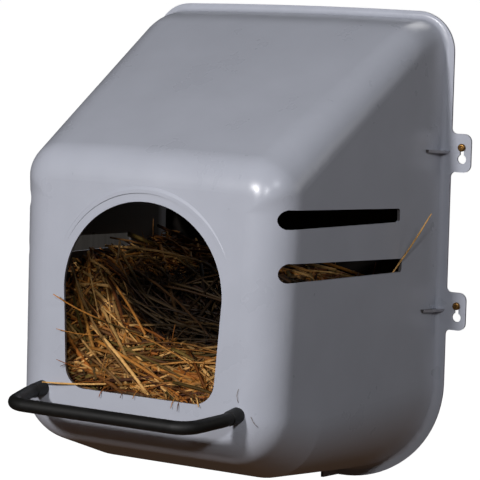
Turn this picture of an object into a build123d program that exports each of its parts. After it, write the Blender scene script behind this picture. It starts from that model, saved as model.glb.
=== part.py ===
# Wall-hung nesting box: a one-piece moulded hood with an open back, a bent perch bolted to its
# front, the four screws that it hangs on and the bed of straw inside.
# Millimetres. X runs across the wall, Y goes into the wall and Z points up. The origin lies on the
# wall plane, midway between the four screws. Heights are measured up from the bottom of the rim.
import os
from math import cos, hypot, radians, sin, tan

from build123d import *

# Rim that lies flat on the wall
rim_width = 357.0
rim_height = 508.0
rim_thickness = 3.0
rim_top_radius = 42.0
rim_bottom_radius = 116.0
rim_side_band = 10.0
rim_top_band = 7.5
rim_bottom_band = 10.0
rim_root_radius = 5.0

# Hood walls, which draw in from the rim to the nose; the roof leaves the rim almost level and then
# bends down over a rounded shoulder, and the floor bends up a little more steeply near the nose
wall = 3.0
hood_top_radius = 28.0
hood_bottom_radius = 106.0
nose_depth = 335.3
nose_top_width = 291.5
nose_bottom_width = 284.0
nose_bottom = 94.0
nose_top = 362.0
nose_top_radius = 41.5
nose_bottom_radius = 50.0
nose_round = 40.0
roof_slope = 25.0
shoulder_slope = 3.5
shoulder_blend = 5.0
shoulder_depth = 64.0
shoulder_steps = 4
floor_slope = 9.8
belly_slope = 24.0
belly_blend = 5.0
belly_depth = 241.0
front_lean = 2.9
crown_angle = 1.7

# Arched doorway in the front and the raised brow over it
sill_height = 142.7
sill_half_width = 81.4
sill_corner_radius = 22.0
arch_height = 241.7
arch_radius = 87.2
brow_gap = 8.3
brow_width = 6.4
brow_rise = 1.5
brow_bevel = 3.0
brow_sink = 0.8
brow_half_angle = 66.0

# Vent slots, one above the other in each side, falling towards the wall
slot_front = 313.0
slot_front_opening = 18.4
slot_back_opening = 13.9
slot_back_radius = 3.5
upper_slot_front_height = 320.5
upper_slot_back_height = 303.5
upper_slot_back = 92.0
lower_slot_front_height = 270.5
lower_slot_back_height = 251.6
lower_slot_back = 85.0

# Keyhole ears, their screws and the ribs that brace the rim
screw_from_rim = 12.2
screw_row_low = 200.0
screw_row_gap = 167.0
ear_reach = 22.2
ear_height = 40.0
ear_corner_radius = 8.0
ear_root_radius = 5.5
ear_below_screw = 26.0
keyhole_drop = 12.3
screw_shank_radius = 2.1
screw_neck_radius = 1.9
screw_neck_end = 0.5
screw_head_radius = 4.1
screw_head_height = 2.8
screw_length = 25.0
screw_tip_length = 6.0
screw_head_edge_radius = 1.7
screw_recess_length = 4.4
screw_recess_width = 1.1
screw_recess_depth = 1.5
screw_clearance = 0.3
head_clearance = 0.8
rib_thickness = 3.0
rib_length = 40.0
rib_blunt_end = 4.0
rib_root = 5.0
rib_rise = 5.5
rib_draft = 30.0
floor_rib_spacing = 114.0
floor_rib_depth = 12.0

# Perch: tube, collars on its legs, inserts in its ends, bolts and washers on bosses behind the front
perch_height = 137.9
perch_leg_spacing = 216.4
perch_bar_spacing = 192.6
perch_reach = 72.4
perch_root_length = 24.0
perch_root_bend_radius = 40.0
perch_bend_radius = 20.0
perch_radius = 6.35
perch_tube_wall = 1.2
perch_spigot = 2.2
perch_socket_depth = 2.5
perch_hole_clearance = 0.3
boss_radius = 11.0
boss_depth = 9.0
collar_radius = 7.7
collar_tip_radius = 7.0
collar_length = 16.0
collar_skirt = 6.0
collar_edge_radius = 0.6
collar_seat_gap = 0.1
press_clearance = 0.05
insert_length = 18.0
bolt_radius = 3.0
bolt_length = 20.0
bolt_head_flats = 10.0
bolt_head_height = 4.0
thread_clearance = 0.05
washer_radius = 9.0
washer_thickness = 1.6
washer_clearance = 0.3

# Straw bed, kept just clear of the walls: a bank that rises from the sill, higher on the left as the
# whole bed is, and a round nest hollow pressed in behind it
straw_gap = 1.0
straw_front_gap = 14.0
straw_wall_gap = 4.0
straw_top = 222.0
straw_tilt = 5.0
bank_foot_height = 146.0
bank_slope = 40.0
nest_radius = 150.0
nest_across = 20.0
nest_forward = 217.0
nest_height = 313.5

os.makedirs("parts", exist_ok=True)

# Places worked out from the sizes above
origin_height = screw_row_low + screw_row_gap / 2
lean = radians(front_lean)
rim_half = rim_width / 2
cut_depth = 3 * wall
screw_across = rim_width + 2 * screw_from_rim
vent_slots = [
    (upper_slot_front_height, upper_slot_back_height, upper_slot_back),
    (lower_slot_front_height, lower_slot_back_height, lower_slot_back),
]


def level(height):
    """Z of a height measured up from the bottom of the rim."""
    return height - origin_height


def up_front(height):
    """Distance up the leaning front, from the nose's bottom edge to a height."""
    return (height - nose_bottom) / cos(lean)


def drawn_in(at_rim, at_nose, forward):
    """A size that changes evenly from the rim plane to the nose plane."""
    return at_rim + (at_nose - at_rim) * forward / nose_depth


def roof_height(forward):
    """Height of the roof's middle line: level shoulder and slope, blended where they cross."""
    shoulder = rim_height - rim_top_band - forward * tan(radians(shoulder_slope))
    slope = nose_top + (nose_depth - forward) * tan(radians(roof_slope))
    return (shoulder + slope - hypot(shoulder - slope, shoulder_blend)) / 2


def floor_height(forward):
    """Height of the floor: its slope from the rim and the steeper belly, blended where they cross."""
    back = rim_bottom_band + forward * tan(radians(floor_slope))
    belly = nose_bottom - (nose_depth - forward) * tan(radians(belly_slope))
    return (back + belly + hypot(back - belly, belly_blend)) / 2


def leaning_plane(origin, angle):
    """Plane that faces forward and leans back at its top by an angle in radians."""
    return Plane(origin=origin, x_dir=(1, 0, 0), z_dir=(0, -cos(angle), sin(angle)))


front_plane = leaning_plane((0, -nose_depth, level(nose_bottom)), lean)
leg_plane = leaning_plane(front_plane.from_local_coords((0, up_front(perch_height), 0)), 0)
leg_places = [(-perch_leg_spacing / 2, 0), (perch_leg_spacing / 2, 0)]
screw_places = [
    (side * screw_across / 2, level(screw_row_low + row * screw_row_gap))
    for side in (-1, 1)
    for row in (0, 1)
]


def crowned_outline(plane, low_half, high_half, low, high, low_radius, high_radius):
    """Rounded outline across the hood, slightly crowned along its top edge."""
    eaves = high - high_half * tan(radians(crown_angle / 2))
    with BuildSketch(plane) as outline:
        with BuildLine():
            Line((-high_half, eaves), (-low_half, low))
            Line((-low_half, low), (low_half, low))
            Line((low_half, low), (high_half, eaves))
            ThreePointArc((high_half, eaves), (0, high), (-high_half, eaves))
        make_face()
        fillet(outline.vertices().group_by(Axis.Y)[0], radius=low_radius)
        fillet(outline.vertices().group_by(Axis.Y)[-1], radius=high_radius)
    return outline.sketch


def hood_section(forward, inset):
    """Outline of the hood at a distance forward of the wall, drawn in by inset."""
    return crowned_outline(
        Plane.XZ.offset(forward),
        drawn_in(rim_half - rim_side_band, nose_bottom_width / 2, forward) - inset,
        drawn_in(rim_half - rim_side_band, nose_top_width / 2, forward) - inset,
        level(floor_height(forward) + inset),
        level(roof_height(forward) - inset),
        drawn_in(hood_bottom_radius, nose_bottom_radius, forward) - inset,
        drawn_in(hood_top_radius, nose_top_radius, forward) - inset,
    )


def hood_form(inset, front_inset):
    """Solid block of the hood's shape, drawn in by inset all round and by front_inset in front."""
    straight = [hood_section(forward, inset) for forward in (shoulder_depth, belly_depth, nose_depth)]
    bends = [shoulder_depth * step / shoulder_steps for step in range(shoulder_steps + 1)]
    rounded = [hood_section(forward, inset) for forward in bends]
    with BuildPart() as form:
        loft(sections=straight, ruled=True)
        split(bisect_by=front_plane.offset(-front_inset), keep=Keep.BOTTOM)
        fillet(form.faces().sort_by(Axis.Y)[0].edges(), radius=nose_round - inset)
        loft(sections=rounded)
    return form.part


outer_form = hood_form(0, 0)
inner_form = hood_form(wall, wall)
straw_form = hood_form(wall + straw_gap, wall + straw_front_gap)
collar_seat = hood_form(-collar_seat_gap, -collar_seat_gap)
rim_outline = crowned_outline(
    Plane.XZ, rim_half, rim_half, level(0), level(rim_height), rim_bottom_radius, rim_top_radius
)

# Bosses behind the front that the perch's level legs are bolted through, cut off by the leaning front
with BuildPart() as bosses:
    with BuildSketch(leg_plane.offset(-boss_depth)):
        with Locations(*leg_places):
            Circle(boss_radius)
    extrude(amount=boss_depth + wall)
    add(outer_form, mode=Mode.INTERSECT)

# Hood: the outer form joined to its rim, then hollowed from the open back
with BuildPart() as hood:
    add(outer_form)
    extrude(rim_outline, amount=rim_thickness)
    rim_front = hood.faces().filter_by(Axis.Y).sort_by(Axis.Y)[-2]
    fillet(rim_front.inner_wires()[0].edges(), radius=rim_root_radius)

    # Ears for the screws
    with BuildSketch(Plane.XZ) as ears:
        for across, height in screw_places:
            side = 1 if across > 0 else -1
            with Locations((side * rim_half, height + ear_height / 2 - ear_below_screw)):
                Rectangle(2 * ear_reach, ear_height)
        ear_tips = [v for v in ears.vertices() if abs(v.X) > rim_half]
        fillet(ear_tips, radius=ear_corner_radius)
    extrude(amount=rim_thickness)
    ear_roots = [
        edge for edge in hood.edges().filter_by(Axis.Y)
        if round(abs(edge.center().X) - rim_half, 3) == 0
    ]
    fillet(ear_roots, radius=ear_root_radius)

    # Ribs that brace the rim behind each ear, rising a little to the front, with a drafted lower side
    wall_at_rib = drawn_in(rim_half - rim_side_band, nose_bottom_width / 2, rib_length)
    rib_tilt = radians(rib_rise)
    for across, height in screw_places:
        side = 1 if across > 0 else -1
        rib_top = height + ear_height / 2 - ear_below_screw + rib_thickness / 2
        with BuildSketch(Plane((0, 0, rib_top), x_dir=(1, 0, 0), z_dir=(0, -sin(rib_tilt), -cos(rib_tilt)))):
            with BuildLine():
                Polyline(
                    (side * (rim_half - rim_side_band - rib_root), 0),
                    (side * rim_half, 0),
                    (side * (wall_at_rib + rib_blunt_end), rib_length),
                    (side * (wall_at_rib - rib_root), rib_length),
                    close=True,
                )
            make_face()
        extrude(amount=rib_thickness, taper=rib_draft)

    # Upright ribs under the floor
    floor_at_rib = floor_height(rib_length)
    for across in (-floor_rib_spacing / 2, floor_rib_spacing / 2):
        with BuildSketch(Plane.YZ.offset(across - rib_thickness / 2)):
            with BuildLine():
                Polyline(
                    (-rim_thickness / 2, level(rim_bottom_band + wall / 2)),
                    (-rim_thickness / 2, level(0)),
                    (-rim_thickness, level(0)),
                    (-rib_length, level(floor_at_rib - floor_rib_depth)),
                    (-rib_length, level(floor_at_rib + wall / 2)),
                    close=True,
                )
            make_face()
        extrude(amount=rib_thickness)

    # Brow: a low band along the arch, square inside and bevelled outside, tilted to sink in at both ends
    brow_radius = arch_radius + brow_gap + brow_width / 2
    brow_tilt = brow_rise / (brow_radius * (1 - cos(radians(brow_half_angle))))
    brow_centre = front_plane.from_local_coords((0, up_front(arch_height), -brow_radius * brow_tilt))
    brow_plane = leaning_plane(brow_centre, lean - brow_tilt)
    brow_spoke = brow_plane.x_dir.rotate(Axis((0, 0, 0), brow_plane.z_dir), 90 - brow_half_angle)
    with BuildSketch(Plane(brow_centre, brow_spoke, brow_spoke.cross(brow_plane.z_dir))):
        with BuildLine():
            inner_edge = brow_radius - brow_width / 2
            outer_edge = brow_radius + brow_width / 2
            Polyline(
                (inner_edge, -brow_sink),
                (inner_edge, brow_rise),
                (outer_edge - brow_bevel, brow_rise),
                (outer_edge, 0),
                (outer_edge, -brow_sink),
                close=True,
            )
        make_face()
    revolve(axis=Axis(brow_centre, brow_plane.z_dir), revolution_arc=2 * brow_half_angle)

    # Inside of the hood, open at the wall
    add(inner_form, mode=Mode.SUBTRACT)
    add(bosses.part)

    # Doorway
    with BuildSketch(front_plane) as doorway:
        with BuildLine():
            sill = up_front(sill_height)
            spring = up_front(arch_height)
            Line((-sill_half_width, sill), (sill_half_width, sill))
            Line((sill_half_width, sill), (arch_radius, spring))
            ThreePointArc((arch_radius, spring), (0, spring + arch_radius), (-arch_radius, spring))
            Line((-arch_radius, spring), (-sill_half_width, sill))
        make_face()
        fillet(doorway.vertices().group_by(Axis.Y)[0], radius=sill_corner_radius)
    extrude(amount=-cut_depth, mode=Mode.SUBTRACT)

    # Vent slots through both sides, round at the front and square at the back
    with BuildSketch(Plane.YZ) as slots:
        for front_height, back_height, back in vent_slots:
            front_centre = slot_front_opening / 2 - slot_front
            front_low = (front_centre, level(front_height) - slot_front_opening / 2)
            front_high = (front_centre, level(front_height) + slot_front_opening / 2)
            back_low = (-back, level(back_height) - slot_back_opening / 2)
            back_high = (-back, level(back_height) + slot_back_opening / 2)
            with BuildLine():
                Polyline(front_high, back_high, back_low, front_low)
                ThreePointArc(front_low, (-slot_front, level(front_height)), front_high)
            make_face()
        back_corners = [v for v in slots.vertices() if v.X > -slot_front / 2]
        fillet(back_corners, radius=slot_back_radius)
    extrude(amount=rim_half, both=True, mode=Mode.SUBTRACT)

    # Keyholes in the ears
    with BuildSketch(Plane.XZ):
        for across, height in screw_places:
            with Locations((across, height - keyhole_drop)):
                Circle(screw_head_radius + head_clearance)
            with Locations((across, height - keyhole_drop / 2)):
                SlotCenterToCenter(keyhole_drop, 2 * (screw_neck_radius + screw_clearance), rotation=90)
    extrude(amount=rim_thickness, mode=Mode.SUBTRACT)

    # Sockets for the perch's legs and bolt holes through the bosses
    with BuildSketch(leg_plane.offset(-perch_socket_depth)):
        with Locations(*leg_places):
            Circle(perch_radius + perch_hole_clearance)
    extrude(amount=perch_socket_depth + wall, mode=Mode.SUBTRACT)
    with BuildSketch(leg_plane):
        with Locations(*leg_places):
            Circle(bolt_radius + washer_clearance)
    extrude(amount=-boss_depth, mode=Mode.SUBTRACT)

hood.part.label = "hood"
export_step(hood.part, "parts/hood.step")

# Perch: one tube bent into a level U, its legs toed in a little
perch_plane = Plane(origin=leg_plane.origin, x_dir=(1, 0, 0), z_dir=leg_plane.y_dir)
leg_half = perch_leg_spacing / 2
with BuildPart() as perch_bar:
    with BuildLine(perch_plane):
        FilletPolyline(
            (-leg_half, perch_spigot),
            (-leg_half, -perch_root_length),
            (-perch_bar_spacing / 2, -perch_reach),
            (perch_bar_spacing / 2, -perch_reach),
            (leg_half, -perch_root_length),
            (leg_half, perch_spigot),
            radius=[perch_root_bend_radius, perch_bend_radius, perch_bend_radius, perch_root_bend_radius],
        )
    with BuildSketch(leg_plane.offset(-perch_spigot)):
        with Locations(leg_places[0]):
            Circle(perch_radius)
            Circle(perch_radius - perch_tube_wall, mode=Mode.SUBTRACT)
    sweep()
perch_bar.part.label = "perch_bar"
export_step(perch_bar.part, "parts/perch_bar.step")

# Collar and end insert of each leg; the collar's skirt follows the rounded front
for name, place in zip(("left", "right"), leg_places):
    with BuildPart() as collar:
        with BuildSketch(leg_plane):
            with Locations(place):
                Circle(collar_radius)
        with BuildSketch(leg_plane.offset(collar_length)):
            with Locations(place):
                Circle(collar_tip_radius)
        loft()
        fillet(collar.edges().sort_by(Axis.Y)[0], radius=collar_edge_radius)
        with BuildSketch(leg_plane):
            with Locations(place):
                Circle(collar_radius)
        extrude(amount=-collar_skirt)
        add(collar_seat, mode=Mode.SUBTRACT)
        with BuildSketch(leg_plane.offset(-collar_skirt)):
            with Locations(place):
                Circle(perch_radius + press_clearance)
        extrude(amount=collar_skirt + collar_length, mode=Mode.SUBTRACT)
    collar.part.label = name + "_perch_collar"
    export_step(collar.part, "parts/" + collar.part.label + ".step")

    with BuildPart() as insert:
        with BuildSketch(leg_plane.offset(-perch_spigot)):
            with Locations(place):
                Circle(perch_radius - perch_tube_wall - press_clearance)
                Circle(bolt_radius + thread_clearance, mode=Mode.SUBTRACT)
        extrude(amount=insert_length)
    insert.part.label = name + "_perch_insert"
    export_step(insert.part, "parts/" + insert.part.label + ".step")

# Washers on the bosses
with BuildPart() as perch_washers:
    with BuildSketch(leg_plane.offset(-boss_depth)):
        with Locations(*leg_places):
            Circle(washer_radius)
            Circle(bolt_radius + washer_clearance, mode=Mode.SUBTRACT)
    extrude(amount=-washer_thickness)
perch_washers.part.label = "perch_washers"
export_step(perch_washers.part, "parts/perch_washers.step")

# Bolts from the inside, through the washers and bosses into the inserts
with BuildPart() as perch_bolts:
    bolt_seat = leg_plane.offset(-boss_depth - washer_thickness)
    with BuildSketch(bolt_seat):
        with Locations(*leg_places):
            RegularPolygon(bolt_head_flats / 2, side_count=6, major_radius=False)
    extrude(amount=-bolt_head_height)
    with BuildSketch(bolt_seat):
        with Locations(*leg_places):
            Circle(bolt_radius)
    extrude(amount=bolt_length)
perch_bolts.part.label = "perch_bolts"
export_step(perch_bolts.part, "parts/perch_bolts.step")

# Pan-head wall screws with a crossed recess; the hood hangs on their necks
head_seat = rim_thickness + screw_clearance
head_face = head_seat + screw_head_height
with BuildPart() as wall_screws:
    for across, height in screw_places:
        with BuildSketch(Plane.XY.move(Location((across, 0, height)))) as profile:
            with BuildLine():
                Polyline(
                    (0, -head_face),
                    (screw_head_radius, -head_face),
                    (screw_head_radius, -head_seat),
                    (screw_neck_radius, -head_seat),
                    (screw_neck_radius, screw_neck_end),
                    (screw_shank_radius, screw_neck_end),
                    (screw_shank_radius, screw_length - head_seat - screw_tip_length),
                    (0, screw_length - head_seat),
                    close=True,
                )
            make_face()
            head_edge = profile.vertices().group_by(Axis.Y)[0].sort_by(Axis.X)[-1]
            fillet(head_edge, radius=screw_head_edge_radius)
        revolve(axis=Axis((across, 0, height), (0, 1, 0)))
    with BuildSketch(Plane.XZ.offset(head_face)):
        with Locations(*screw_places):
            Rectangle(screw_recess_length, screw_recess_width)
            Rectangle(screw_recess_width, screw_recess_length)
    extrude(amount=-screw_recess_depth, mode=Mode.SUBTRACT)
wall_screws.part.label = "wall_screws"
export_step(wall_screws.part, "parts/wall_screws.step")

# Straw bed: fills the bottom of the hood, banked up behind the sill and round the nest hollow
bed_fall = tan(radians(straw_tilt))
bed_plane = Plane(origin=(0, 0, level(straw_top)), z_dir=(bed_fall, 0, 1))
bank_plane = Plane(
    origin=(0, wall + straw_front_gap - nose_depth, level(bank_foot_height)),
    z_dir=(bed_fall, -tan(radians(bank_slope)), 1),
)
with BuildPart() as straw:
    add(straw_form)
    split(bisect_by=Plane.XZ.offset(straw_wall_gap), keep=Keep.TOP)
    split(bisect_by=bed_plane, keep=Keep.BOTTOM)
    split(bisect_by=bank_plane, keep=Keep.BOTTOM)
    with Locations((nest_across, -nest_forward, level(nest_height))):
        Sphere(nest_radius, mode=Mode.SUBTRACT)
straw.part.label = "straw_bed"
export_step(straw.part, "parts/straw_bed.step")
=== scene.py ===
"""Looks of the wall-hung nesting box, laid out as an add-on and run as a script."""
import random
from collections import namedtuple
from math import cos, pi, radians, sin

import bmesh
import bpy
from bpy.props import FloatProperty, FloatVectorProperty, IntProperty, PointerProperty
from mathutils import Matrix, Vector, noise
from mathutils.bvhtree import BVHTree


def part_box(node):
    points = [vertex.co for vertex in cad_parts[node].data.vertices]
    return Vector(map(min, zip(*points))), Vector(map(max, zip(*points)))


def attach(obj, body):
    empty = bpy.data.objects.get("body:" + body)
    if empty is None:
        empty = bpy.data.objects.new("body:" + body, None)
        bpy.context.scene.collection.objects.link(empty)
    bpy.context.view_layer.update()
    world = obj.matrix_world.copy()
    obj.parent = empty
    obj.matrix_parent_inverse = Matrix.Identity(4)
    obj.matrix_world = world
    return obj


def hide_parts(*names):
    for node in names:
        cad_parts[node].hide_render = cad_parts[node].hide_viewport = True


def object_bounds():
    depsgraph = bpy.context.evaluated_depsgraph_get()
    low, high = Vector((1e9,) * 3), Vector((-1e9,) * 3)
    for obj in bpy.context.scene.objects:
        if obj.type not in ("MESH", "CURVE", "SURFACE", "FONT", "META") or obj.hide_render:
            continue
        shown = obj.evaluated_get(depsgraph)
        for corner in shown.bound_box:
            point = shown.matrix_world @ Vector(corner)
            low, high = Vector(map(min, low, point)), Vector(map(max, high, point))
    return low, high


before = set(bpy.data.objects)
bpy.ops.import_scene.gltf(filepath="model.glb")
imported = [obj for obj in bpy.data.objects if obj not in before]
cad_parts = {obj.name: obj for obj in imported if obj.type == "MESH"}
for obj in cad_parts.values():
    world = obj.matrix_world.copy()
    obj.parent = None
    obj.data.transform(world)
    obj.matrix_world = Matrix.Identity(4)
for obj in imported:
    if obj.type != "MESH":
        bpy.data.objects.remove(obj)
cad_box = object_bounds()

bl_info = {
    "name": "Nesting box",
    "version": (1, 0, 0),
    "blender": (4, 5, 0),
    "location": "View3D > Sidebar > Nesting box",
    "description": "Finishes the moulded hood, perch and fixings, and beds the nest with straw",
    "category": "Object",
}

BOX = "box"
MM = 0.001
STRAW_COLOUR = "straw_colour"

# Part of a noise that is stretched over the whole change of a shade or roughness
NOISE_RANGE = {"From Min": 0.3, "From Max": 0.7}

# Heights between which dust thickens on the hood, in metres, and its most cover
DUST_HEIGHTS = {"From Min": -0.15, "From Max": -0.285}
DUST_COVER = 0.4

# Middle of the hollow hood, how far a face turns to it to count as inside, and the strip forward of the rim
# over which the painted shade inside the hood sets in, all in metres
HOOD_MIDDLE = (0.0, -0.17, -0.03)
INSIDE_TURN = {"From Min": 0.0, "From Max": -0.04}
INSIDE_SHADE_STRIP = {"From Min": -0.008, "From Max": -0.02}

# Middle and reach of the nest hollow, in metres, whose height does not count; straw is darkened there as
# painted shade, up to an edge given in shares of the reach
NEST_MIDDLE = (0.04, -0.185, 0.0)
NEST_REACH = (0.165, 0.112, 100.0)
HOLLOW_SHADE_EDGE = {"From Min": 0.78, "From Max": 0.98}
HOLLOW_SHADE = 0.06

# Spacing of the flecks on a stalk; turns, length and width of the streaks in packed straw
FLECK = 5 * MM
STREAK_TURNS = ((0.3, 0.2, 0.4), (0.3, 0.2, 1.9))
STREAK_LENGTH = 16.667 * MM
STREAK_WIDTH = 1.923 * MM

# Spacing of the paper's fibre; width and length of the grain in the boards
PAPER_FIBRE = 40 * MM
GRAIN_WIDTH = 3.846 * MM
GRAIN_LENGTH = 111.11 * MM

# Packed straw: gap that is welded, size of its even mesh, sizes and weights of its lumps, its least, mean
# and spread of depth below the bed in millimetres, and the least that is left of that at sharp edges
WELD = 0.01 * MM
CORE_MESH = 6 * MM
CORE_LUMPS = ((22 * MM, 1), (9 * MM, 0.5))
CORE_DEPTHS = (4, 6.5, 4)
CORE_SKIN = 1.5 * MM

# Distances from which rays are sent to the bed and to the front, in metres
BED_RAY = 0.1
FRONT_RAY = 1

# Loose straw at the front: fall of its apron, and from the front of the bed how far back that fall begins,
# how far forward straw lies, and how far back the apron and the front bank go
APRON_FALL = 1.3
BED_LIP = 5 * MM
SILL_REACH = 9 * MM
APRON_DEPTH = 8 * MM
BANK_DEPTH = 100 * MM

# Where the loose layer starts to heap up at the left and to thin out at the right, and over what width
HEAP_FROM, HEAP_WIDTH = -60 * MM, 90 * MM
THIN_FROM, THIN_WIDTH = 80 * MM, 50 * MM

# Laying of stalks: mean and spread of combed headings, leaning of lengths to the short side, spread of the
# roll, range of the rise of standing stems, spread of headings and reach of stalks at the open back
COMB_HEADING = (-0.3, 0.6)
SHORTNESS = 1.4
ROLL_SPREAD = 1.1
STEM_RISES = (0.3, 0.9)
BACK_SPREAD = 0.5
BACK_REACH = 20 * MM

# Range of a stalk's lightness, and how far its tip takes a colour of its own
TINT_STRENGTHS = (0.35, 1.1)
TIP_SHARE = 0.4

# Half of the floor's width in metres, and the heights of view between which ground turns to sky
FLOOR_HALF = 60
GROUND_BAND = {"From Min": -0.7, "From Max": -0.3}

# Card behind the open back: its width, how much shorter than the hood it is and how much higher its middle
# lies, its gap to the rim, and the radii of its lower and upper corners
WALL_WIDTH = 340 * MM
WALL_SHORTER = 15.5 * MM
WALL_HIGHER = 4.75 * MM
WALL_GAP = 0.5 * MM
WALL_CORNERS = (110 * MM, 38 * MM)

# Card beyond the left slots: its place, turn in degrees, height and width, and the radii of its corners
SIDE_PLACE = (-163 * MM, -135 * MM, 0)
SIDE_TURN = 4.1
SIDE_SIZE = (110 * MM, 210 * MM)
SIDE_CORNERS = (5 * MM, 5 * MM)

# A lamp: the first word of its power's setting, its azimuth, elevation and distance, its size and its colour
Lamp = namedtuple("Lamp", "name direction size colour")
LAMPS = (
    Lamp("key", (-6, 22, 3.0), 0.2, (1.0, 0.99, 1.0)),
    Lamp("side", (25, 20.5, 3.0), 0.2, (0.97, 0.98, 1.0)),
    Lamp("soft", (55, 34, 3.0), 0.6, (0.92, 0.94, 1.0)),
    Lamp("fill", (117, 14, 1.3), 0.5, (1.0, 0.95, 0.88)),
    Lamp("back", (180, 40, 2.6), 0.8, (1.0, 1.0, 1.0)),
)

# Camera: its place and reach in metres, its yaw, pitch and roll in degrees, its sensor in millimetres
CAMERA_PLACE = (0.9639, -1.9336, 0.2837)
CAMERA_REACH = 200
CAMERA_TURNS = (28.132, 8.292, 1.054)
SENSOR_WIDTH = 36


def linear(hex_colour):
    """Linear RGB of an sRGB hex colour."""
    levels = [int(hex_colour[place:place + 2], 16) / 255 for place in (1, 3, 5)]
    return tuple(c / 12.92 if c <= 0.04045 else ((c + 0.055) / 1.055) ** 2.4 for c in levels)


def colour_property(name, description, hex_colour):
    """A colour that a user may change, given as sRGB hex."""
    return FloatVectorProperty(
        name=name, description=description, subtype="COLOR", min=0, max=1, default=linear(hex_colour)
    )


def length_property(name, description, millimetres):
    """A length that a user may change, given in millimetres."""
    return FloatProperty(name=name, description=description, unit="LENGTH", min=0, default=millimetres * MM)


def share_property(name, description, share):
    """A share from 0 to 1 that a user may change."""
    return FloatProperty(name=name, description=description, subtype="FACTOR", min=0, max=1, default=share)


def count_property(name, description, count):
    """A number of pieces that a user may change."""
    return IntProperty(name=name, description=description, min=0, default=count)


def power_property(name, description, watts):
    """Power of a lamp that a user may change."""
    return FloatProperty(name=name, description=description, unit="POWER", min=0, default=watts)


class HoodFinish(bpy.types.PropertyGroup):
    """Moulded hood."""

    colour: colour_property("Plastic", "Colour of the moulded plastic", "#B2B5BF")
    dust_colour: colour_property("Dust", "Dust that settles low on the hood", "#8A7A68")
    # Painted shade: the inside of the hood is darkened where shade falls in it, with some grime
    inside_shade_colour: colour_property("Inside shade", "Painted shade inside the hood, with some grime", "#3A3128")
    inside_shade: share_property("Grime cover", "How much of the inside the painted shade covers", 0.85)
    roughness: share_property("Roughness", "Satin of the mould's surface", 0.3)
    grain: length_property("Grain", "Spacing of the mould's fine texture", 1.4)
    mottle: length_property("Mottle", "Size of the faint clouds in the plastic", 70)


class PerchFinish(bpy.types.PropertyGroup):
    """Perch and collars."""

    colour: colour_property("Coating", "Black coating of the tube", "#0C0B09")
    scuff_colour: colour_property("Scuffs", "Dust rubbed into the coating where it is gripped", "#221E19")
    roughness: share_property("Roughness", "Sheen of the coating", 0.55)
    grain: length_property("Grain", "Spacing of the coating's leathery texture", 0.9)
    scuff: length_property("Scuff", "Size of a scuffed patch", 9)


class FixingFinish(bpy.types.PropertyGroup):
    """Screws, bolts, washers and inserts."""

    brass_colour: colour_property("Screws", "Yellow plating of the wall screws", "#96703F")
    zinc_colour: colour_property("Bolts", "Zinc plating of the bolts, washers and inserts", "#B4B8BA")
    plating: length_property("Plating", "Size of the blotches in the plating", 1.5)


class StrawBedding(bpy.types.PropertyGroup):
    """Straw in the nest."""

    tangle: count_property("Tangle", "Short bent stalks that fill the loose layer", 3200)
    stalks: count_property("Stalks", "Stalks laid over the tangle", 1150)
    long_stalks: count_property("Long stalks", "Long pale stalks on top", 150)
    leaves: count_property("Leaves", "Flat leaf blades among the stalks", 620)
    curls: count_property("Curls", "Thin stems that stand up in curls", 260)
    chaff: count_property("Chaff", "Short broken bits", 140)
    back_stalks: count_property("Back stalks", "Stalks pressed flat at the open back", 900)
    depth: length_property("Depth", "Thickness of the loose layer on the bed", 14)
    clearance: length_property("Clearance", "Room between straw and plastic", 2.0)
    heap: share_property("Heap", "How much thicker the loose layer lies against the left wall", 0.8)
    thinning: share_property("Thinning", "How much thinner the loose layer lies against the right wall", 0.85)
    apron_share: share_property("Apron share", "Share of the loose straw that spills down to the sill", 0.12)
    front_share: share_property("Front share", "Share of the loose straw that lies on the front bank", 0.45)
    gold: colour_property("Gold", "Ripe stalks", "#BE7E38")
    pale: colour_property("Pale", "Bleached stalks", "#DEAC68")
    orange: colour_property("Orange", "Stalks with a rusty skin", "#9E5B22")
    brown: colour_property("Brown", "Old stalks", "#5E3416")
    plum: colour_property("Plum", "Weathered leaf sheaths", "#4E3226")
    green: colour_property("Green", "Leaves cut green", "#6E5C2C")
    # Painted shade: the packed straw is kept near black so that the gaps between the loose stalks read shaded
    shade: colour_property("Shade", "Packed straw below the loose layer, dark as painted shade between the loose stalks", "#21150A")


class Studio(bpy.types.PropertyGroup):
    """Floor, lights and camera."""

    floor_colour: colour_property("Floor", "Plain pale floor", "#FFFFFF")
    floor_glow: share_property("Floor glow", "Light of the floor's own, which keeps it evenly pale", 0.99)
    floor_drop: length_property("Floor drop", "Height at which the box hangs over the floor", 900)
    wall_colour: colour_property("Wall", "Boards behind the open back", "#1E1712")
    # Painted light: the boards beyond the left slots glow by themselves
    beside_colour: colour_property("Beside", "Boards beyond the left slots, lit by a glow of their own", "#2C2A28")
    sky_colour: colour_property("Sky", "Even light from above", "#FFFFFF")
    ground_colour: colour_property("Ground", "Light that comes back from far below", "#FFC496")
    sky: FloatProperty(name="Sky light", description="Strength of the even light", min=0, default=0.015)
    ground: FloatProperty(
        name="Ground light", description="Strength of the light from below", min=0, default=0.085
    )
    key_power: power_property("Key", "Power of the small light in front", 59)
    side_power: power_property("Side", "Power of the small light at the right in front", 17)
    soft_power: power_property("Soft", "Power of the wide light high at the right", 12.5)
    fill_power: power_property("Fill", "Power of the light beside the right wall", 0.8)
    back_power: power_property("Back", "Power of the light high behind", 5)
    lens: FloatProperty(name="Lens", description="Focal length", subtype="DISTANCE_CAMERA", default=150)


def add_node(tree, kind, inputs=None, **settings):
    """Adds a node with its settings; an input takes a value, or the socket that is linked to it."""
    new = tree.nodes.new(kind)
    for name, value in settings.items():
        setattr(new, name, value)
    for name, value in (inputs or {}).items():
        if isinstance(value, bpy.types.NodeSocket):
            tree.links.new(value, new.inputs[name])
        else:
            new.inputs[name].default_value = value
    return new


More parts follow.
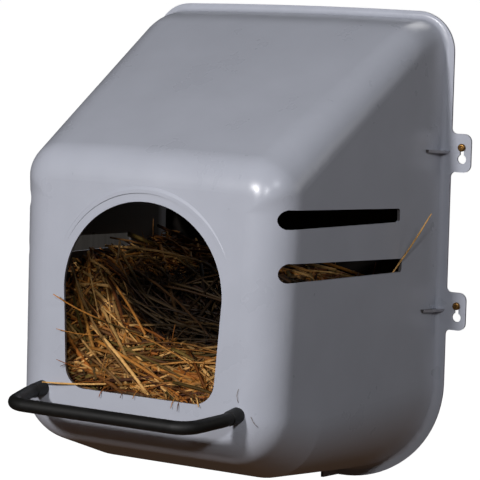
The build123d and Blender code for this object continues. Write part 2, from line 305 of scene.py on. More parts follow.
def new_material(name):
    """An empty material, its node tree and the Object coordinates of what wears it."""
    material = bpy.data.materials.new(name)
    material.use_nodes = True
    tree = material.node_tree
    tree.nodes.clear()
    place = add_node(tree, "ShaderNodeTexCoord").outputs["Object"]
    return material, tree, place


def rgba(colour):
    """A colour with full cover."""
    return (*colour, 1.0)


def moulded_polyethylene(finish):
    """Rotomoulded polyethylene: waxy satin grey with faint clouds, dusty low down, and darker inside: painted
    shade with some grime.

    The mould's fine texture is drawn coarser than it is, so that it shows.
    """
    material, tree, place = new_material("moulded_polyethylene")
    clouds = add_node(
        tree, "ShaderNodeTexNoise",
        {"Vector": place, "Scale": 1 / finish.mottle, "Detail": 4.0, "Roughness": 0.6},
    )
    grain = add_node(
        tree, "ShaderNodeTexNoise",
        {"Vector": place, "Scale": 1 / finish.grain, "Detail": 2.0, "Roughness": 0.5},
    )
    cloud_shade = add_node(
        tree, "ShaderNodeMapRange",
        {"Value": clouds.outputs["Fac"], **NOISE_RANGE, "To Min": 0.96, "To Max": 1.03},
    )
    plastic = add_node(
        tree, "ShaderNodeMix", {0: 1.0, 6: rgba(finish.colour), 7: cloud_shade.outputs["Result"]},
        data_type="RGBA", blend_type="MULTIPLY",
    )
    height = add_node(tree, "ShaderNodeSeparateXYZ", {"Vector": place})
    low = add_node(
        tree, "ShaderNodeMapRange",
        {"Value": height.outputs["Z"], **DUST_HEIGHTS, "To Min": 0.0, "To Max": DUST_COVER},
    )
    dust = add_node(
        tree, "ShaderNodeMath", {0: low.outputs["Result"], 1: clouds.outputs["Fac"]}, operation="MULTIPLY"
    )
    dusty = add_node(
        tree, "ShaderNodeMix", {0: dust.outputs[0], 6: plastic.outputs[2], 7: rgba(finish.dust_colour)},
        data_type="RGBA",
    )
    # The inside is where the surface faces the middle of the hood, forward of the rim; it is darkened there
    # as painted shade, with some grime
    outward = add_node(
        tree, "ShaderNodeVectorMath", {0: place, 1: HOOD_MIDDLE}, operation="SUBTRACT"
    ).outputs["Vector"]
    facing = add_node(tree, "ShaderNodeTexCoord").outputs["Normal"]
    turned = add_node(tree, "ShaderNodeVectorMath", {0: outward, 1: facing}, operation="DOT_PRODUCT")
    inside = add_node(
        tree, "ShaderNodeMapRange",
        {"Value": turned.outputs["Value"], **INSIDE_TURN, "To Min": 0.0, "To Max": finish.inside_shade},
    )
    forward = add_node(tree, "ShaderNodeMapRange", {"Value": height.outputs["Y"], **INSIDE_SHADE_STRIP})
    inside_shade = add_node(
        tree, "ShaderNodeMath", {0: inside.outputs["Result"], 1: forward.outputs["Result"]},
        operation="MULTIPLY",
    )
    # Painted shade: the inside of the hood is mixed towards the dark inside colour
    colour = add_node(
        tree, "ShaderNodeMix", {0: inside_shade.outputs[0], 6: dusty.outputs[2], 7: rgba(finish.inside_shade_colour)},
        data_type="RGBA",
    )
    roughness = add_node(
        tree, "ShaderNodeMapRange",
        {"Value": clouds.outputs["Fac"], **NOISE_RANGE,
         "To Min": finish.roughness - 0.04, "To Max": finish.roughness + 0.05},
    )
    bump = add_node(
        tree, "ShaderNodeBump", {"Height": grain.outputs["Fac"], "Strength": 0.12, "Distance": 0.1 * MM}
    )
    shader = add_node(
        tree, "ShaderNodeBsdfPrincipled",
        {"Base Color": colour.outputs[2], "Roughness": roughness.outputs["Result"], "IOR": 1.51,
         "Normal": bump.outputs["Normal"]},
    )
    add_node(tree, "ShaderNodeOutputMaterial", {"Surface": shader.outputs["BSDF"]})
    return material


def rubbery_coating(finish, name):
    """Dipped vinyl on steel, and the moulded collars: near-black, soft sheen, fine grain, dusty scuffs."""
    material, tree, place = new_material(name)
    grain = add_node(
        tree, "ShaderNodeTexNoise",
        {"Vector": place, "Scale": 1 / finish.grain, "Detail": 3.0, "Roughness": 0.6},
    )
    scuffs = add_node(
        tree, "ShaderNodeTexNoise",
        {"Vector": place, "Scale": 1 / finish.scuff, "Detail": 6.0, "Roughness": 0.75},
    )
    worn = add_node(
        tree, "ShaderNodeMapRange",
        {"Value": scuffs.outputs["Fac"], "From Min": 0.52, "From Max": 0.78, "To Min": 0.0, "To Max": 0.35},
    )
    colour = add_node(
        tree, "ShaderNodeMix",
        {0: worn.outputs["Result"], 6: rgba(finish.colour), 7: rgba(finish.scuff_colour)}, data_type="RGBA",
    )
    roughness = add_node(
        tree, "ShaderNodeMapRange",
        {"Value": scuffs.outputs["Fac"], **NOISE_RANGE,
         "To Min": finish.roughness - 0.06, "To Max": finish.roughness + 0.12},
    )
    bump = add_node(
        tree, "ShaderNodeBump", {"Height": grain.outputs["Fac"], "Strength": 0.25, "Distance": 0.15 * MM}
    )
    shader = add_node(
        tree, "ShaderNodeBsdfPrincipled",
        {"Base Color": colour.outputs[2], "Roughness": roughness.outputs["Result"], "IOR": 1.53,
         "Specular IOR Level": 0.35, "Normal": bump.outputs["Normal"]},
    )
    add_node(tree, "ShaderNodeOutputMaterial", {"Surface": shader.outputs["BSDF"]})
    return material


def plated_steel(colour, blotch, name):
    """Plated steel: a soft metal gleam, broken by small blotches in the plating."""
    material, tree, place = new_material(name)
    blotches = add_node(
        tree, "ShaderNodeTexNoise",
        {"Vector": place, "Scale": 1 / blotch, "Detail": 4.0, "Roughness": 0.65},
    )
    shade = add_node(
        tree, "ShaderNodeMapRange",
        {"Value": blotches.outputs["Fac"], **NOISE_RANGE, "To Min": 0.72, "To Max": 1.05},
    )
    tint = add_node(
        tree, "ShaderNodeMix", {0: 1.0, 6: rgba(colour), 7: shade.outputs["Result"]},
        data_type="RGBA", blend_type="MULTIPLY",
    )
    roughness = add_node(
        tree, "ShaderNodeMapRange",
        {"Value": blotches.outputs["Fac"], **NOISE_RANGE, "To Min": 0.28, "To Max": 0.46},
    )
    shader = add_node(
        tree, "ShaderNodeBsdfPrincipled",
        {"Base Color": tint.outputs[2], "Metallic": 1.0, "Roughness": roughness.outputs["Result"]},
    )
    add_node(tree, "ShaderNodeOutputMaterial", {"Surface": shader.outputs["BSDF"]})
    return material


def dry_straw():
    """Threshed straw: silky flecked stalks, each its own gold, brown or green, with painted shade in the nest
    hollow.
    """
    material, tree, place = new_material("dry_straw")
    stalk = add_node(tree, "ShaderNodeAttribute", attribute_type="GEOMETRY", attribute_name=STRAW_COLOUR)
    flecks = add_node(
        tree, "ShaderNodeTexNoise", {"Vector": place, "Scale": 1 / FLECK, "Detail": 3.0, "Roughness": 0.6}
    )
    shade = add_node(
        tree, "ShaderNodeMapRange",
        {"Value": flecks.outputs["Fac"], **NOISE_RANGE, "To Min": 0.66, "To Max": 1.14},
    )
    # Painted shade: straw darkens towards the middle of the nest hollow
    nest = add_node(
        tree, "ShaderNodeMapping", {"Vector": place, "Location": NEST_MIDDLE, "Scale": NEST_REACH},
        vector_type="TEXTURE",
    )
    away = add_node(tree, "ShaderNodeVectorMath", {0: nest.outputs["Vector"]}, operation="LENGTH")
    hollow_shade = add_node(
        tree, "ShaderNodeMapRange",
        {"Value": away.outputs["Value"], **HOLLOW_SHADE_EDGE, "To Min": HOLLOW_SHADE, "To Max": 1.0},
    )
    dark = add_node(
        tree, "ShaderNodeMath", {0: shade.outputs["Result"], 1: hollow_shade.outputs["Result"]},
        operation="MULTIPLY",
    )
    colour = add_node(
        tree, "ShaderNodeMix", {0: 1.0, 6: stalk.outputs["Color"], 7: dark.outputs[0]},
        data_type="RGBA", blend_type="MULTIPLY",
    )
    shader = add_node(
        tree, "ShaderNodeBsdfPrincipled",
        {"Base Color": colour.outputs[2], "Roughness": 0.6, "IOR": 1.45, "Specular IOR Level": 0.2},
    )
    add_node(tree, "ShaderNodeOutputMaterial", {"Surface": shader.outputs["BSDF"]})
    return material


def packed_straw(bedding):
    """Packed straw under the loose layer: dark as painted shade between the loose stalks, with crossing
    streaks of the stalks pressed into it.
    """
    material, tree, place = new_material("packed_straw")
    streaks = None
    scale = (1 / STREAK_LENGTH, 1 / STREAK_WIDTH, 1 / STREAK_WIDTH)
    for turn in STREAK_TURNS:
        laid = add_node(tree, "ShaderNodeMapping", {"Vector": place, "Rotation": turn, "Scale": scale})
        grain = add_node(
            tree, "ShaderNodeTexNoise", {"Vector": laid.outputs["Vector"], "Scale": 1.0, "Detail": 3.0}
        )
        if streaks is None:
            streaks = grain.outputs["Fac"]
        else:
            streaks = add_node(
                tree, "ShaderNodeMath", {0: streaks, 1: grain.outputs["Fac"]}, operation="MAXIMUM"
            ).outputs[0]
    light = add_node(
        tree, "ShaderNodeMapRange",
        {"Value": streaks, "From Min": 0.5, "From Max": 0.75, "To Min": 0.0, "To Max": 0.8},
    )
    # Painted shade: the streaks lighten the near-black shade colour towards brown
    colour = add_node(
        tree, "ShaderNodeMix", {0: light.outputs["Result"], 6: rgba(bedding.shade), 7: rgba(bedding.brown)},
        data_type="RGBA",
    )
    bump = add_node(tree, "ShaderNodeBump", {"Height": streaks, "Strength": 0.8, "Distance": 2 * MM})
    shader = add_node(
        tree, "ShaderNodeBsdfPrincipled",
        {"Base Color": colour.outputs[2], "Roughness": 0.75, "IOR": 1.45, "Normal": bump.outputs["Normal"]},
    )
    add_node(tree, "ShaderNodeOutputMaterial", {"Surface": shader.outputs["BSDF"]})
    return material


def studio_paper(studio):
    """Lit studio paper: pale, matt and even, with a very faint fibre."""
    material, tree, place = new_material("studio_paper")
    fibre = add_node(tree, "ShaderNodeTexNoise", {"Vector": place, "Scale": 1 / PAPER_FIBRE, "Detail": 3.0})
    shade = add_node(
        tree, "ShaderNodeMapRange", {"Value": fibre.outputs["Fac"], "To Min": 0.99, "To Max": 1.01}
    )
    tint = add_node(
        tree, "ShaderNodeMix", {0: 1.0, 6: rgba(studio.floor_colour), 7: shade.outputs["Result"]},
        data_type="RGBA", blend_type="MULTIPLY",
    )
    shader = add_node(
        tree, "ShaderNodeBsdfPrincipled",
        {"Base Color": tint.outputs[2], "Roughness": 0.95, "Emission Color": tint.outputs[2],
         "Emission Strength": studio.floor_glow},
    )
    add_node(tree, "ShaderNodeOutputMaterial", {"Surface": shader.outputs["BSDF"]})
    return material


def barn_boards(name, colour, glow):
    """Old dark boards, drawn on one side only, so that the box can also be seen into from behind; a glow,
    where given, paints light onto them.
    """
    material, tree, place = new_material(name)
    scale = (1 / GRAIN_WIDTH, 1 / GRAIN_WIDTH, 1 / GRAIN_LENGTH)
    boards = add_node(tree, "ShaderNodeMapping", {"Vector": place, "Scale": scale})
    grain = add_node(
        tree, "ShaderNodeTexNoise", {"Vector": boards.outputs["Vector"], "Scale": 1.0, "Detail": 4.0}
    )
    shade = add_node(
        tree, "ShaderNodeMapRange", {"Value": grain.outputs["Fac"], "To Min": 0.5, "To Max": 1.4}
    )
    tint = add_node(
        tree, "ShaderNodeMix", {0: 1.0, 6: rgba(colour), 7: shade.outputs["Result"]},
        data_type="RGBA", blend_type="MULTIPLY",
    )
    shader = add_node(
        tree, "ShaderNodeBsdfPrincipled",
        {"Base Color": tint.outputs[2], "Roughness": 0.9, "Emission Color": tint.outputs[2],
         "Emission Strength": glow},
    )
    behind = add_node(tree, "ShaderNodeNewGeometry").outputs["Backfacing"]
    clear = add_node(tree, "ShaderNodeBsdfTransparent")
    mix = add_node(
        tree, "ShaderNodeMixShader", {0: behind, 1: shader.outputs["BSDF"], 2: clear.outputs["BSDF"]}
    )
    add_node(tree, "ShaderNodeOutputMaterial", {"Surface": mix.outputs["Shader"]})
    return material


def dress(node_name, material):
    """Gives a CAD node its finish."""
    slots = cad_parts[node_name].data.materials
    slots.clear()
    slots.append(material)


def surface_of(node_name):
    """Search tree of a CAD node's surface."""
    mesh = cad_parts[node_name].data
    return BVHTree.FromPolygons([v.co for v in mesh.vertices], [p.vertices for p in mesh.polygons])


def object_from(bm, name, material):
    """Turns a bmesh into an object at the origin."""
    mesh = bpy.data.meshes.new(name)
    bm.to_mesh(mesh)
    bm.free()
    mesh.materials.append(material)
    new = bpy.data.objects.new(name, mesh)
    bpy.context.scene.collection.objects.link(new)
    return new


def straw_piece(bm, name, material):
    """Turns a bmesh into straw that goes with the box."""
    piece = object_from(bm, name, material)
    piece.data.shade_smooth()
    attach(piece, BOX)
    return piece


def mixed(first, second, share):
    """A colour between two others."""
    return tuple(a + (b - a) * share for a, b in zip(first, second))


# A kind of stalk: ranges of its length, width, bend and flatness, the share of width left at its tip, the
# lift of its ends over the bed, how often it takes each of the colours, and the sides and steps of its mesh
StalkKind = namedtuple("StalkKind", "lengths widths bends flats tip lifts tints sides steps")
TINTS = ("gold", "pale", "orange", "brown", "plum", "green")

# A stray stalk, in millimetres, with the turn of its arc and its tilt about the chord
Stray = namedtuple("Stray", "start end width bend roll tint")
STRAYS = (
    Stray((-55, -304, -78), (-92, -339, -50), 2.2, 0.25, 0, "gold"),
    Stray((-58, -308, -92), (-90, -337, -84), 1.4, 0.3, 0, "gold"),
    Stray((-56, -310, -128), (-89, -338, -114), 1.3, 0.3, 0, "orange"),
    Stray((-52, -312, -110), (-86, -336, -121), 1.1, 0.3, pi, "brown"),
    Stray((-40, -325, -135), (-103, -341.5, -137.5), 3.0, 0.12, 0, "pale"),
    Stray((-36, -322, -136.5), (-41, -336.5, -146), 1.2, 1.5, pi, "orange"),
    Stray((-14, -322, -136.5), (-17, -336.5, -144), 0.9, 1.5, pi, "brown"),
    Stray((-1, -322, -136.5), (-3, -336.5, -143), 1.0, 1.5, pi, "gold"),
    Stray((41, -322, -136.5), (39, -336.5, -147), 0.9, 1.5, pi, "gold"),
    Stray((45, -322, -136.5), (46, -336.5, -149), 0.9, 1.5, pi, "brown"),
    Stray((58, -322, -137), (69, -336.5, -142), 1.6, 1.2, pi, "pale"),
    Stray((150.5, -106, -52), (186, -68, 21), 2.4, 0.14, 0, "pale"),
)
# Fine fibres that cling to the front below the door, by x and z in millimetres, with their bend and roll
FRONT_FIBRES = (
    ((108.9, -120.6), (109.3, -133.5), 0.9, -0.62 * pi),
    ((121.5, -145.7), (127.6, -155.7), 1.3, -0.36 * pi),
)
FIBRE_WIDTH = 0.42


class StrawPile:
    """Collects stalks into one mesh."""

    def __init__(self, seed, bedding):
        self.draw = random.Random(seed)
        self.bedding = bedding
        self.pile = bmesh.new()
        self.pile.verts.layers.float_color.new(STRAW_COLOUR)
        self.stalk_mesh = bpy.data.meshes.new("stalk")

    def tint(self, weights):
        """Colours of the two ends of a stalk."""
        names = self.draw.choices(TINTS, weights=weights, k=2)
        root, tip = (getattr(self.bedding, name) for name in names)
        strength = self.draw.uniform(*TINT_STRENGTHS)
        tip = mixed(root, tip, TIP_SHARE)
        return [tuple(min(1.0, c * strength) for c in end) for end in (root, tip)]

    def stalk(self, start, end, width, colours, bend, roll, sides=5, steps=4, flat=1.0, tip=1.0):
        """Lays a stalk from start to end along an arc that turns by bend, tilted about its chord by roll."""
        chord = end - start
        turn_radius = chord.length / (2 * sin(bend / 2))
        stalk = bmesh.new()
        layer = stalk.verts.layers.float_color.new(STRAW_COLOUR)
        bmesh.ops.create_circle(
            stalk, segments=sides, radius=width / 2, matrix=Matrix.Rotation(pi / 2, 4, "Y")
        )
        bmesh.ops.scale(stalk, vec=(1, 1, flat), verts=stalk.verts[:])
        bmesh.ops.spin(
            stalk, geom=stalk.verts[:] + stalk.edges[:], cent=(0, 0, turn_radius), axis=(0, -1, 0),
            angle=bend, steps=steps,
        )
        for number, vert in enumerate(stalk.verts):
            vert[layer] = rgba(mixed(*colours, (number // sides) / steps))
        if tip < 1:
            last = stalk.verts[:][-sides:]
            centre = sum((vert.co for vert in last), Vector()) / sides
            bmesh.ops.scale(stalk, vec=(tip, tip, tip), space=Matrix.Translation(-centre), verts=last)
        bmesh.ops.holes_fill(stalk, edges=stalk.edges[:], sides=sides)
        bmesh.ops.recalc_face_normals(stalk, faces=stalk.faces[:])
        aim = chord.to_track_quat("X", "Z").to_matrix().to_4x4()
        tilt = Matrix.Rotation(roll, 4, "X")
        level = Matrix.Rotation(bend / 2, 4, "Y")
        stalk.transform(Matrix.Translation(start) @ aim @ tilt @ level)
        stalk.to_mesh(self.stalk_mesh)
        stalk.free()
        self.pile.from_mesh(self.stalk_mesh)

    def stalk_of(self, kind, start, end, bend, roll):
        """Lays a stalk of a kind from start to end."""
        draw = self.draw
        self.stalk(
            start, end, draw.uniform(*kind.widths) * MM, self.tint(kind.tints), bend, roll,
            kind.sides, kind.steps, draw.uniform(*kind.flats), kind.tip,
        )

    def finish(self, name, material):
        """The pile as one piece."""
        bpy.data.meshes.remove(self.stalk_mesh)
        return straw_piece(self.pile, name, material)


class NestSpace:
    """Where straw may lie: on the bed, inside the hood and clear of the plastic."""

    def __init__(self, bedding):
        self.hood = surface_of("hood")
        self.bed = surface_of("straw_bed")
        self.low, self.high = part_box("straw_bed")
        self.bed_front = self.low.y + BED_LIP
        self.front = self.low.y - SILL_REACH
        self.apron_back = self.low.y + APRON_DEPTH
        self.bank_back = self.low.y + BANK_DEPTH
        self.bedding = bedding

    def top(self, x, y):
        """Point on top of the bed or of the apron that falls from it to the sill, or None beside them."""
        if y < self.front:
            return None
        above = Vector((x, max(y, self.bed_front), self.high.z + BED_RAY))
        hit = self.bed.ray_cast(above, Vector((0, 0, -1)))[0]
        if hit is None:
            return None
        return Vector((x, y, hit.z - APRON_FALL * max(0, self.bed_front - y)))

    def fluff(self, x):
        """How thick the loose layer is across the bed: heaped at the left wall, thin at the right."""
        left = min(1, max(0, (HEAP_FROM - x) / HEAP_WIDTH))
        right = min(1, max(0, (x - THIN_FROM) / THIN_WIDTH))
        return 1 + self.bedding.heap * left - self.bedding.thinning * right

    def clear(self, *points):
        """True where points lie clear of the plastic, with no plastic between them."""
        if any(self.hood.find_nearest(point)[3] < self.bedding.clearance for point in points):
            return False
        for start, end in zip(points, points[1:]):
            if self.hood.ray_cast(start, end - start, (end - start).length)[0]:
                return False
        return True

    def anywhere(self, draw):
        """A place on the bed, more often on its apron and its front bank."""
        share = draw.random() - self.bedding.apron_share
        if share < 0:
            back = self.apron_back
        elif share < self.bedding.front_share:
            back = self.bank_back
        else:
            back = self.high.y
        return Vector((draw.uniform(self.low.x, self.high.x), draw.uniform(self.front, back), 0))


def arc_points(start, end, bend, roll):
    """Five points along the arc that a stalk takes from start to end."""
    chord = end - start
    aim = chord.to_track_quat("X", "Z")
    turn_radius = chord.length / (2 * sin(bend / 2))
    points = []
    for turn in (-0.5, -0.25, 0, 0.25, 0.5):
        along = chord.length / 2 + turn_radius * sin(turn * bend)
        sag = turn_radius * (cos(turn * bend) - cos(bend / 2))
        points.append(start + aim @ Vector((along, sag * sin(roll), -sag * cos(roll))))
    return points


def lay(pile, space, kind, count, combed):
    """Lays stalks with both ends on the bed; combed is the share that runs along the front."""
    draw = pile.draw
    while count:
        shortest, longest = kind.lengths
        length = MM * (shortest + (longest - shortest) * draw.random() ** SHORTNESS)
        heading = draw.gauss(*COMB_HEADING) if draw.random() < combed else draw.uniform(-pi, pi)
        half = Vector((cos(heading), sin(heading), 0)) * length / 2
        middle = space.anywhere(draw)
        ends = [space.top(*(middle + half * side).xy) for side in (-1, 1)]
        if None in ends:
            continue
        for end in ends:
            end.z += MM * draw.uniform(*kind.lifts) * space.fluff(end.x)
        bend = draw.uniform(*kind.bends)
        roll = draw.gauss(pi, ROLL_SPREAD)
        if space.clear(*arc_points(*ends, bend, roll)):
            pile.stalk_of(kind, *ends, bend, roll)
            count -= 1


def stand(pile, space, kind, count):
    """Stands thin stems up out of the bed."""
    draw = pile.draw
    while count:
        start = space.top(*space.anywhere(draw).xy)
        if start is None:
            continue
        heading = draw.uniform(-pi, pi)
        length = MM * draw.uniform(*kind.lengths)
        rise = draw.uniform(*STEM_RISES)
        end = start + length * Vector((cos(heading) * (1 - rise), sin(heading) * (1 - rise), rise))
        bend = draw.uniform(*kind.bends)
        roll = draw.uniform(-pi, pi)
        if end.y > space.front and space.clear(*arc_points(start, end, bend, roll)):
            pile.stalk_of(kind, start, end, bend, roll)
            count -= 1


def press_back(pile, space, kind, count):
    """Presses stalks flat against the plane of the open back."""
    draw = pile.draw
    while count:
        length = MM * draw.uniform(*kind.lengths)
        heading = draw.gauss(0, BACK_SPREAD)
        half = Vector((cos(heading), 0, sin(heading))) * length / 2
        across = draw.uniform(space.low.x, space.high.x)
        middle = Vector((across, 0, draw.uniform(space.low.z, space.high.z)))
        ends = []
        for side in (-1, 1):
            end = middle + half * side
            hit = space.bed.ray_cast(Vector((end.x, BED_RAY, end.z)), Vector((0, -1, 0)))[0]
            if hit and hit.y > -BACK_REACH:
                ends.append(hit - Vector((0, MM * draw.uniform(*kind.lifts), 0)))
        if len(ends) < 2:
            continue
        bend = draw.uniform(*kind.bends)
        roll = draw.uniform(-pi, pi)
        if space.clear(*arc_points(*ends, bend, roll)):
            pile.stalk_of(kind, *ends, bend, roll)
            count -= 1


def dark_card(name, width, height, corner_radii, pose, material):
    """A dark card of the stage with rounded corners, drawn on one side only."""
    card = bmesh.new()
    bmesh.ops.create_grid(card, x_segments=1, y_segments=1, size=0.5)
    bmesh.ops.scale(card, vec=(width, height, 1), verts=card.verts[:])
    for side, radius in zip((-1, 1), corner_radii):
        corners = [v for v in card.verts if v.co.y * side > 0]
        bmesh.ops.bevel(
            card, geom=corners, offset=radius, offset_type="OFFSET", affect="VERTICES", segments=10,
            profile=0.5, material=-1,
        )
    card.transform(pose)
    board = object_from(card, name, material)
    board.visible_shadow = False


def around(azimuth, elevation, distance):
    """Offset in metres; the azimuth in degrees turns from straight in front towards the viewer's right."""
    turn, rise = radians(azimuth), radians(elevation)
    return distance * Vector((sin(turn) * cos(rise), -cos(turn) * cos(rise), sin(rise)))


class NESTBOX_OT_finish_hood(bpy.types.Operator):
    """Give the moulded hood its satin plastic"""

    bl_idname = "nestbox.finish_hood"
    bl_label = "Finish hood"

    def execute(self, context):
        dress("hood", moulded_polyethylene(context.scene.nestbox_hood))
        return {"FINISHED"}


class NESTBOX_OT_finish_perch(bpy.types.Operator):
    """Give the perch and its collars their black coating"""

    bl_idname = "nestbox.finish_perch"
    bl_label = "Finish perch"

    def execute(self, context):
        finish = context.scene.nestbox_perch
        dress("perch_bar", rubbery_coating(finish, "dipped_vinyl"))
        collar = rubbery_coating(finish, "moulded_collar_plastic")
        dress("left_perch_collar", collar)
        dress("right_perch_collar", collar)
        return {"FINISHED"}


class NESTBOX_OT_finish_fixings(bpy.types.Operator):
    """Plate the screws, bolts, washers and inserts"""

    bl_idname = "nestbox.finish_fixings"
    bl_label = "Finish fixings"

    def execute(self, context):
        finish = context.scene.nestbox_fixings
        dress("wall_screws", plated_steel(finish.brass_colour, finish.plating, "yellow_plated_steel"))
        zinc = plated_steel(finish.zinc_colour, finish.plating, "zinc_plated_steel")
        for name in ("perch_bolts", "perch_washers", "left_perch_insert", "right_perch_insert"):
            dress(name, zinc)
        return {"FINISHED"}


class NESTBOX_OT_pack_straw(bpy.types.Operator):
    """Pack the body of the straw bed below its loose layer"""

    bl_idname = "nestbox.pack_straw"
    bl_label = "Pack straw"

    def execute(self, context):
        bedding = context.scene.nestbox_straw
        core = bmesh.new()
        core.from_mesh(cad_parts["straw_bed"].data)
        bmesh.ops.remove_doubles(core, verts=core.verts[:], dist=WELD)
        piece = straw_piece(core, "straw_core", packed_straw(bedding))
        remesh = piece.modifiers.new("Even mesh", "REMESH")
        remesh.mode = "VOXEL"
        remesh.voxel_size = CORE_MESH
        even = bpy.data.meshes.new_from_object(piece.evaluated_get(context.evaluated_depsgraph_get()))
        piece.modifiers.clear()
        piece.data = even
        bed = surface_of("straw_bed")
        least, mean, spread = CORE_DEPTHS
        for vert in even.vertices:
            lump = sum(weight * noise.noise(vert.co / size) for size, weight in CORE_LUMPS)
            sunk = vert.co - vert.normal * MM * max(least, mean + spread * lump)
            face, outward, _, _ = bed.find_nearest(sunk)
            if (sunk - face).dot(outward) > -CORE_SKIN:
                sunk = face - outward * CORE_SKIN
            vert.co = sunk
        even.shade_smooth()
        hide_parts("straw_bed")
        return {"FINISHED"}


class NESTBOX_OT_lay_straw(bpy.types.Operator):
    """Lay loose stalks, leaves and chaff over the straw bed"""

    bl_idname = "nestbox.lay_straw"
    bl_label = "Lay straw"

    def execute(self, context):
        bedding = context.scene.nestbox_straw
        material = dry_straw()
        space = NestSpace(bedding)
        depth = bedding.depth / MM
        # The tangle mostly takes brown and plum, which paints shade into the gaps between the stalks laid
        # over it
        tangle = StalkKind(
            lengths=(16, 60), widths=(0.8, 2.2), bends=(0.1, 1.3), flats=(0.5, 1), tip=0.7,
            lifts=(-6, 0.7 * depth), tints=(8, 3, 16, 44, 22, 7), sides=4, steps=4,
        )
        stalk = StalkKind(
            lengths=(30, 100), widths=(1.6, 4.0), bends=(0.05, 0.6), flats=(0.45, 1), tip=0.9,
            lifts=(-2, depth), tints=(36, 26, 12, 14, 6, 6), sides=5, steps=4,
        )
        long_stalk = stalk._replace(
            lengths=(80, 150), widths=(1.8, 3.8), lifts=(0.5 * depth, 1.1 * depth), tints=(40, 46, 8, 2, 0, 4)
        )
        leaf = StalkKind(
            lengths=(25, 85), widths=(3, 6.5), bends=(0.05, 0.7), flats=(0.1, 0.2), tip=0.25,
            lifts=(-2, depth), tints=(22, 16, 16, 16, 16, 14), sides=4, steps=4,
        )
        curl = StalkKind(
            lengths=(14, 45), widths=(0.6, 1.2), bends=(0.5, 2.6), flats=(0.8, 1), tip=0.5,
            lifts=(0, 0), tints=(34, 22, 14, 14, 2, 14), sides=4, steps=6,
        )
        chaff = StalkKind(
            lengths=(4, 18), widths=(1, 3), bends=(0.05, 0.3), flats=(0.3, 0.8), tip=0.8,
            lifts=(-2, depth), tints=(28, 26, 14, 18, 8, 6), sides=4, steps=1,
        )
        pressed = stalk._replace(lengths=(40, 160), bends=(0.02, 0.12), lifts=(-1, 5))

        loose = StrawPile(seed=11, bedding=bedding)
        lay(loose, space, tangle, bedding.tangle, combed=0.2)
        stand(loose, space, curl, bedding.curls)
        loose.finish("straw_tangle", material)

        stalks = StrawPile(seed=17, bedding=bedding)
        lay(stalks, space, stalk, bedding.stalks, combed=0.35)
        lay(stalks, space, long_stalk, bedding.long_stalks, combed=0.8)
        stalks.finish("straw_stalks", material)

        leaves = StrawPile(seed=23, bedding=bedding)
        lay(leaves, space, leaf, bedding.leaves, combed=0.5)
        lay(leaves, space, chaff, bedding.chaff, combed=0.0)
        leaves.finish("straw_leaves", material)

        back = StrawPile(seed=37, bedding=bedding)
        press_back(back, space, pressed, bedding.back_stalks)
        back.finish("straw_back", material)
        return {"FINISHED"}


class NESTBOX_OT_stray_straw(bpy.types.Operator):
    """Lay the stray stalks over the door's edge and sill, out of a slot and on the front"""

    bl_idname = "nestbox.stray_straw"
    bl_label = "Stray straw"

    def execute(self, context):
        bedding = context.scene.nestbox_straw
        strays = StrawPile(seed=41, bedding=bedding)
        for stray in STRAYS:
            colour = getattr(bedding, stray.tint)
            start, end = (Vector(place) * MM for place in (stray.start, stray.end))
            strays.stalk(
                start, end, stray.width * MM, (colour, colour), stray.bend, stray.roll, flat=0.7, tip=0.6
            )
        hood = surface_of("hood")
        for start, end, bend, roll in FRONT_FIBRES:
            ends = []
            for x, z in (start, end):
                hit = hood.ray_cast(Vector((x * MM, -FRONT_RAY, z * MM)), Vector((0, 1, 0)))[0]
                ends.append(hit - Vector((0, FIBRE_WIDTH * MM, 0)))
            strays.stalk(*ends, FIBRE_WIDTH * MM, (bedding.green, bedding.brown), bend, roll, sides=4)
        strays.finish("straw_strays", dry_straw())
        return {"FINISHED"}


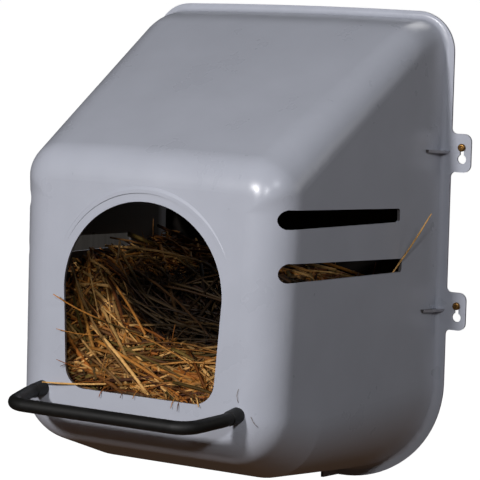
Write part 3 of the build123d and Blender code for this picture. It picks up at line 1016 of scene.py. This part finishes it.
class NESTBOX_OT_set_stage(bpy.types.Operator):
    """Set the floor, the wall behind the open back, the studio lights and the camera"""

    bl_idname = "nestbox.set_stage"
    bl_label = "Set stage"

    def execute(self, context):
        studio = context.scene.nestbox_studio
        floor = bmesh.new()
        bmesh.ops.create_grid(floor, x_segments=1, y_segments=1, size=FLOOR_HALF)
        bmesh.ops.translate(floor, verts=floor.verts[:], vec=(0, 0, cad_box[0].z - studio.floor_drop))
        ground = object_from(floor, "floor", studio_paper(studio))
        ground.visible_diffuse = False
        ground.visible_glossy = False

        boards = barn_boards("barn_boards", studio.wall_colour, glow=0.0)
        # Painted light: the boards beyond the left slots glow by themselves, standing in for light that falls
        # on them
        self_lit_boards = barn_boards("dim_barn_boards", studio.beside_colour, glow=1.0)
        hood_low, hood_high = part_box("hood")
        upright = Matrix.Translation((0, WALL_GAP, (hood_low.z + hood_high.z) / 2 + WALL_HIGHER))
        dark_card(
            "wall_patch", WALL_WIDTH, hood_high.z - hood_low.z - WALL_SHORTER, WALL_CORNERS,
            upright @ Matrix.Rotation(pi / 2, 4, "X"), boards,
        )
        beside = Matrix.Translation(SIDE_PLACE) @ Matrix.Rotation(radians(SIDE_TURN), 4, "Z")
        dark_card(
            "side_patch", *SIDE_SIZE, SIDE_CORNERS, beside @ Matrix.Rotation(pi / 2, 4, "Y"), self_lit_boards
        )

        world = bpy.data.worlds.new("studio_sky")
        world.use_nodes = True
        tree = world.node_tree
        tree.nodes.clear()
        view = add_node(tree, "ShaderNodeTexCoord").outputs["Generated"]
        height = add_node(tree, "ShaderNodeSeparateXYZ", {"Vector": view}).outputs["Z"]
        rise = add_node(tree, "ShaderNodeMapRange", {"Value": height, **GROUND_BAND})
        below = mixed((0, 0, 0), studio.ground_colour, studio.ground)
        above = mixed((0, 0, 0), studio.sky_colour, studio.sky)
        colour = add_node(
            tree, "ShaderNodeMix", {0: rise.outputs["Result"], 6: rgba(below), 7: rgba(above)},
            data_type="RGBA",
        )
        glow = add_node(tree, "ShaderNodeBackground", {"Color": colour.outputs[2]})
        add_node(tree, "ShaderNodeOutputWorld", {"Surface": glow.outputs["Background"]})
        context.scene.world = world

        middle = (cad_box[0] + cad_box[1]) / 2
        for kind in LAMPS:
            place = around(*kind.direction)
            lamp = bpy.data.lights.new(kind.name, "AREA")
            lamp.size = kind.size
            lamp.energy = getattr(studio, f"{kind.name}_power")
            lamp.color = kind.colour
            holder = bpy.data.objects.new(kind.name, lamp)
            holder.location = middle + place
            holder.rotation_euler = (-place).to_track_quat("-Z", "Y").to_euler()
            holder.visible_camera = False
            context.scene.collection.objects.link(holder)

        camera = bpy.data.cameras.new("camera")
        camera.lens = studio.lens
        camera.sensor_width = SENSOR_WIDTH
        camera.clip_end = CAMERA_REACH
        holder = bpy.data.objects.new("camera", camera)
        yaw, pitch, roll = (radians(angle) for angle in CAMERA_TURNS)
        holder.matrix_world = (
            Matrix.Translation(CAMERA_PLACE)
            @ Matrix.Rotation(yaw, 4, "Z")
            @ Matrix.Rotation(pi / 2 - pitch, 4, "X")
            @ Matrix.Rotation(roll, 4, "Z")
        )
        context.scene.collection.objects.link(holder)
        context.scene.camera = holder
        context.scene.view_settings.view_transform = "Standard"
        return {"FINISHED"}


class NESTBOX_PT_panel(bpy.types.Panel):
    """Steps and settings of the nesting box"""

    bl_label = "Nesting box"
    bl_idname = "NESTBOX_PT_panel"
    bl_space_type = "VIEW_3D"
    bl_region_type = "UI"
    bl_category = "Nesting box"

    def draw(self, context):
        for operator in OPERATORS:
            self.layout.operator(operator.bl_idname)
        for name in SETTINGS:
            group = getattr(context.scene, name)
            box = self.layout.box()
            box.label(text=group.bl_rna.description)
            for key in group.__annotations__:
                box.prop(group, key)


SETTINGS = {
    "nestbox_hood": HoodFinish,
    "nestbox_perch": PerchFinish,
    "nestbox_fixings": FixingFinish,
    "nestbox_straw": StrawBedding,
    "nestbox_studio": Studio,
}
OPERATORS = (
    NESTBOX_OT_finish_hood,
    NESTBOX_OT_finish_perch,
    NESTBOX_OT_finish_fixings,
    NESTBOX_OT_pack_straw,
    NESTBOX_OT_lay_straw,
    NESTBOX_OT_stray_straw,
    NESTBOX_OT_set_stage,
)
CLASSES = (*SETTINGS.values(), *OPERATORS, NESTBOX_PT_panel)


def register():
    for cls in CLASSES:
        bpy.utils.register_class(cls)
    for name, group in SETTINGS.items():
        setattr(bpy.types.Scene, name, PointerProperty(type=group))


def unregister():
    for name in SETTINGS:
        delattr(bpy.types.Scene, name)
    for cls in reversed(CLASSES):
        bpy.utils.unregister_class(cls)


def main():
    register()
    bpy.ops.nestbox.finish_hood()
    bpy.ops.nestbox.finish_perch()
    bpy.ops.nestbox.finish_fixings()
    bpy.ops.nestbox.pack_straw()
    bpy.ops.nestbox.lay_straw()
    bpy.ops.nestbox.stray_straw()
    bpy.ops.nestbox.set_stage()


if __name__ == "__main__":
    main()
